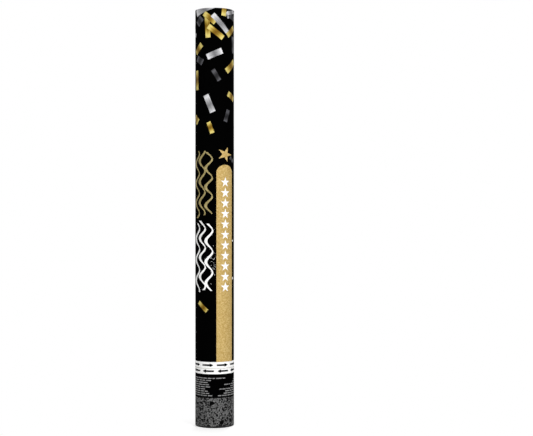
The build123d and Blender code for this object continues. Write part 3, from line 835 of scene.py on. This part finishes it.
end_tree(tree, add(tree, "GeometryNodeSetPosition", {"Geometry": ribbon, "Position": bent}), given)

# %% Hang the streamers
swing, ribbon_width, film_step = 5.0 * MM, 4.8 * MM, 0.01 * MM
for number, (ink_name, middle, foot, length, waves, phase) in enumerate((
        ("old_gold", -30.0, 300, 96, 3.4, 0.0), ("old_gold", -19.5, 304, 92, 3.1, 0.9),
        ("old_gold", -8.5, 306, 88, 3.3, 2.0), ("white", -29.5, 194, 98, 3.3, 1.2),
        ("white", -19.0, 197, 99, 3.6, 0.4), ("white", -8.0, 196, 96, 3.2, 2.4)), start=1):
    keep("streamer_print_" + str(number), *on_barrel, streamer, Middle=middle * MM, Foot=foot * MM,
         Length=length * MM, Swing=swing, Waves=waves, Phase=phase, Width=ribbon_width,
         Thickness=film + number * film_step, Finish=plain_inks[ink_name])

# %% [markdown]
# ## Dashes at the grip
# Between the white band and the stipple, rows of short grey dashes fill the sides and leave the front black.
# A seeded rule sets them down along each row, and leaves out those on its bare part. The tree of the printed
# strips makes the copies.

# %% Dashes
bare_parts = [(-5, 4), (-6, 10), (-11, 15), (-13, 4), (-10, 24), (-8, 13), (-12, 30), (-3, 36), (15, 36)]
first_row, row_pitch, dash_height = 46.4, 3.1, 1.3
dash_lengths, dash_gaps = (2.5, 8), (0.9, 1.7)
row_start, row_end = print_left / MM + 2, lap_foot * print_radius / MM - 1
dashes = []
for row, (bare_from, bare_to) in enumerate(bare_parts):
    x = row_start
    while x < row_end - 1:
        long = dice.uniform(*dash_lengths)
        middle = x + long / 2
        if (middle < bare_from or middle > bare_to) and x + long < row_end:
            dashes.append((middle, first_row + row_pitch * row, long, dash_height, 0))
        x += long + dice.uniform(*dash_gaps)
points = strip_points("dash_points", dashes, [film] * len(dashes))
keep("dash_print", *on_grip, strip_prints, points, Columns=4, Rows=2, Finish=plain_inks["grey"])

# %% [markdown]
# ## Sparkle
# A faint cloud of white specks is printed behind the stripe and shows on both sides of it. A bell-shaped
# scatter thins out by itself towards its edge, and the specks that the stripe would cover are left out.

# %% Sparkle
spark_count, cloud_x, cloud_z, spark_reach = 48, (12, 9), (232, 15), (0.3, 0.65)
sparks = [(32.3, 267.3, 2.2), (32.6, 213.4, 2.9)]
while len(sparks) < spark_count:
    x, z, spark_size = dice.gauss(*cloud_x), dice.gauss(*cloud_z), dice.uniform(*spark_reach)
    if x < stripe_left - 1 or x > stripe_right + 1:
        sparks.append((x, z, spark_size))
turned = [(x, z, spark_size, spark_size, dice.uniform(0, 90)) for x, z, spark_size in sparks]
points = strip_points("spark_points", turned, [film] * len(sparks))
keep("sparkle_print", *on_barrel, strip_prints, points, Columns=2, Rows=2, Finish=plain_inks["white"])

# %% [markdown]
# ## Board tube and mouth cap
# Seen from above, the mouth shows the bare board's end and the cap pushed into it. Both are turned shapes: a
# profile carried once round the axis. Board crushes a little where it is cut and plastic shrinks round its
# corners, so the profiles have small rounds.

# %% Turned shapes
def turn_round(name, profile, finish, body, stands_for, steps):
    """A closed profile of radius and height, counter-clockwise, turned. Rings on the axis are points."""
    corners, rings, faces = [], [], []
    for r, z in profile:
        angles = [2 * math.pi * step / steps for step in range(steps if r else 1)]
        rings.append([len(corners) + step for step in range(len(angles))] * (1 if r else steps))
        corners += [(r * math.cos(angle), r * math.sin(angle), z) for angle in angles]
    for low, high in zip(rings, rings[1:] + rings[:1]):
        for step in range(steps):
            after = (step + 1) % steps
            face = list(dict.fromkeys((low[step], low[after], high[after], high[step])))
            if len(face) > 2:
                faces.append(face)
    shape = bpy.data.meshes.new(name)
    shape.from_pydata(corners, [], faces)
    shape.materials.append(finish)
    shape.shade_smooth()
    shape.set_sharp_from_angle(angle=math.radians(40))
    piece = new_object(name, shape)
    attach(piece, body)
    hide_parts(*stands_for)
    print(name, "has", len(faces), "faces")


def rounded(corners, radii, steps=4):
    """A closed outline in millimetres, as metres, each corner a short curve that starts this far from it."""
    outline = []
    for index, (corner, radius) in enumerate(zip(corners, radii)):
        neighbours = corners[index - 1], corners[(index + 1) % len(corners)]
        ends = [[c + (o - c) * radius / math.dist(corner, other) for c, o in zip(corner, other)]
                for other in neighbours]
        for step in range(steps + 1 if radius else 1):
            t = step / steps
            outline.append(tuple(((1 - t) ** 2 * a + 2 * t * (1 - t) * c + t * t * b) * MM
                                 for a, c, b in zip(ends[0], corner, ends[1])))
    return outline


bore, outside, foot, head = 25.4, board_radius / MM, barrel_foot / MM, mouth / MM
profile = rounded([(bore, foot), (outside, foot), (outside, head), (bore, head)], [0.2, 0.2, 0.25, 0.5])
turn_round("barrel_board", profile, boards["spiral_wound_greyboard"], "barrel", ["barrel_tube"],
           steps=128)

# %% Mouth cap
cap_low, cap_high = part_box("muzzle_cap")
rim, foot, head = cap_high.x / MM, cap_low.z / MM, cap_high.z / MM
wall, face = 1.6, head - 0.8
ring_bed, gate_bed = face - 0.3, face - 0.35
profile = rounded(
    [(rim - wall, foot), (rim - 0.4, foot), (rim, foot + 1.6), (rim, head), (rim - 2, head),
     (rim - 2.3, face), (15.2, face), (15.0, ring_bed), (13.6, ring_bed), (13.4, face), (2.2, face),
     (2.0, gate_bed), (0.9, gate_bed), (0.7, face), (0, face), (0, face - wall), (rim - wall, face - wall)],
    [0.3, 0.3, 0.5, 0.6, 0.4, 0.3] + [0] * 10 + [0.8])
turn_round("mouth_cap", profile, moulded["black_polypropylene"], "cap", ["muzzle_cap"],
           steps=96)

# %% [markdown]
# ## Foil strips in the barrel
# The charge is packed in six layers, each turned a sixth of a turn from the one below, with three stacks side
# by side in each. A stack is many flat strips on edge. One leaf is copied onto points, and each stack
# bows a little, as film does that was cut from a roll. A real stack has hundreds of strips, too thin to show,
# so each leaf stands for about ten of them.

# %% Tree: stack of strips
strip_stack, given = start_tree("strip_stack", Wide=0.014, Long=0.038, Thick=0.0003, Slip=0.0006, Seed=5,
                                Finish=None)
tree = strip_stack
leaf = add(tree, "GeometryNodeMeshCube", {"Vertices Z": 6})
unit = own_place(tree)
leaf = add(tree, "GeometryNodeStoreNamedAttribute", {"Geometry": leaf, "Name": "along", "Value": unit["Z"]})
turn, along, bow = [add(tree, "GeometryNodeInputNamedAttribute", {"Name": label})
                    for label in ("turn", "along", "bow")]
turned = add(tree, "FunctionNodeEulerToRotation", [add(tree, JOIN, {"Z": turn})])
size = add(tree, JOIN, {"X": given["Wide"], "Y": given["Thick"], "Z": given["Long"]})
slip = add(tree, "FunctionNodeRandomValue", {3: given["Slip"], "Seed": given["Seed"]}).outputs[1]
raise_by = add(tree, JOIN, {"Z": slip})
slipped = add(tree, "GeometryNodeSetPosition", {"Geometry": given["Geometry"], "Offset": raise_by})
copies = add(tree, "GeometryNodeInstanceOnPoints",
             {"Points": slipped, "Instance": leaf, "Rotation": turned, "Scale": size})
real = add(tree, "GeometryNodeRealizeInstances", [copies])
square = calc(tree, "MULTIPLY", along, along)
belly = calc(tree, "MULTIPLY_ADD", square, -4.0, 1.0)
sag = calc(tree, "MULTIPLY", belly, bow)
straight = add(tree, JOIN, {"Y": sag})
sideways = add(tree, "ShaderNodeVectorRotate", {"Vector": straight, "Angle": turn}, rotation_type="Z_AXIS")
bowed = add(tree, "GeometryNodeSetPosition", {"Geometry": real, "Offset": sideways})
end_tree(tree, bowed, given, wound=False)

# %% Pack the strips
charge_foot = 166.612 * MM
layer_pitch, stack_pitch, strip_width, strip_length = 39.2 * MM, 14.4 * MM, 14 * MM, 38 * MM
pack_radius, leaf_pitch, leaf_thickness = 24.9 * MM, 0.5 * MM, 0.46 * MM
spare_depth, most_bow = 0.6 * MM, 0.22 * MM
layer_count, stack_count = 6, 3
film_names = list(films)
leaves = {film_name: [] for film_name in film_names}
for layer in range(layer_count):
    heading = math.radians(60 * layer)
    for column in range(stack_count):
        aside = (column - 1) * stack_pitch
        depth = 2 * math.sqrt(pack_radius ** 2 - (abs(aside) + strip_width / 2) ** 2)
        count = int((depth - spare_depth) / leaf_pitch)
        for leaf_number in range(count):
            back = (leaf_number - (count - 1) / 2) * leaf_pitch
            place = (aside * math.cos(heading) - back * math.sin(heading),
                     aside * math.sin(heading) + back * math.cos(heading),
                     charge_foot + layer * layer_pitch + strip_length / 2)
            bow = most_bow * math.sin(2.1 * layer + 4.4 * column + 0.12 * leaf_number)
            leaves[film_names[(layer + column) % len(films)]].append((place, heading, bow))
for film_name, stack in leaves.items():
    places, turns, bows = zip(*stack)
    points = points_with(film_name + "_leaf_points", places, turn=turns, bow=bows)
    keep(film_name + "_foil_strips", "charge", film_name + "_foil", strip_stack, points,
         stands_for=[film_name + "_strips"], Wide=strip_width, Long=strip_length, Thick=leaf_thickness,
         Finish=films[film_name])
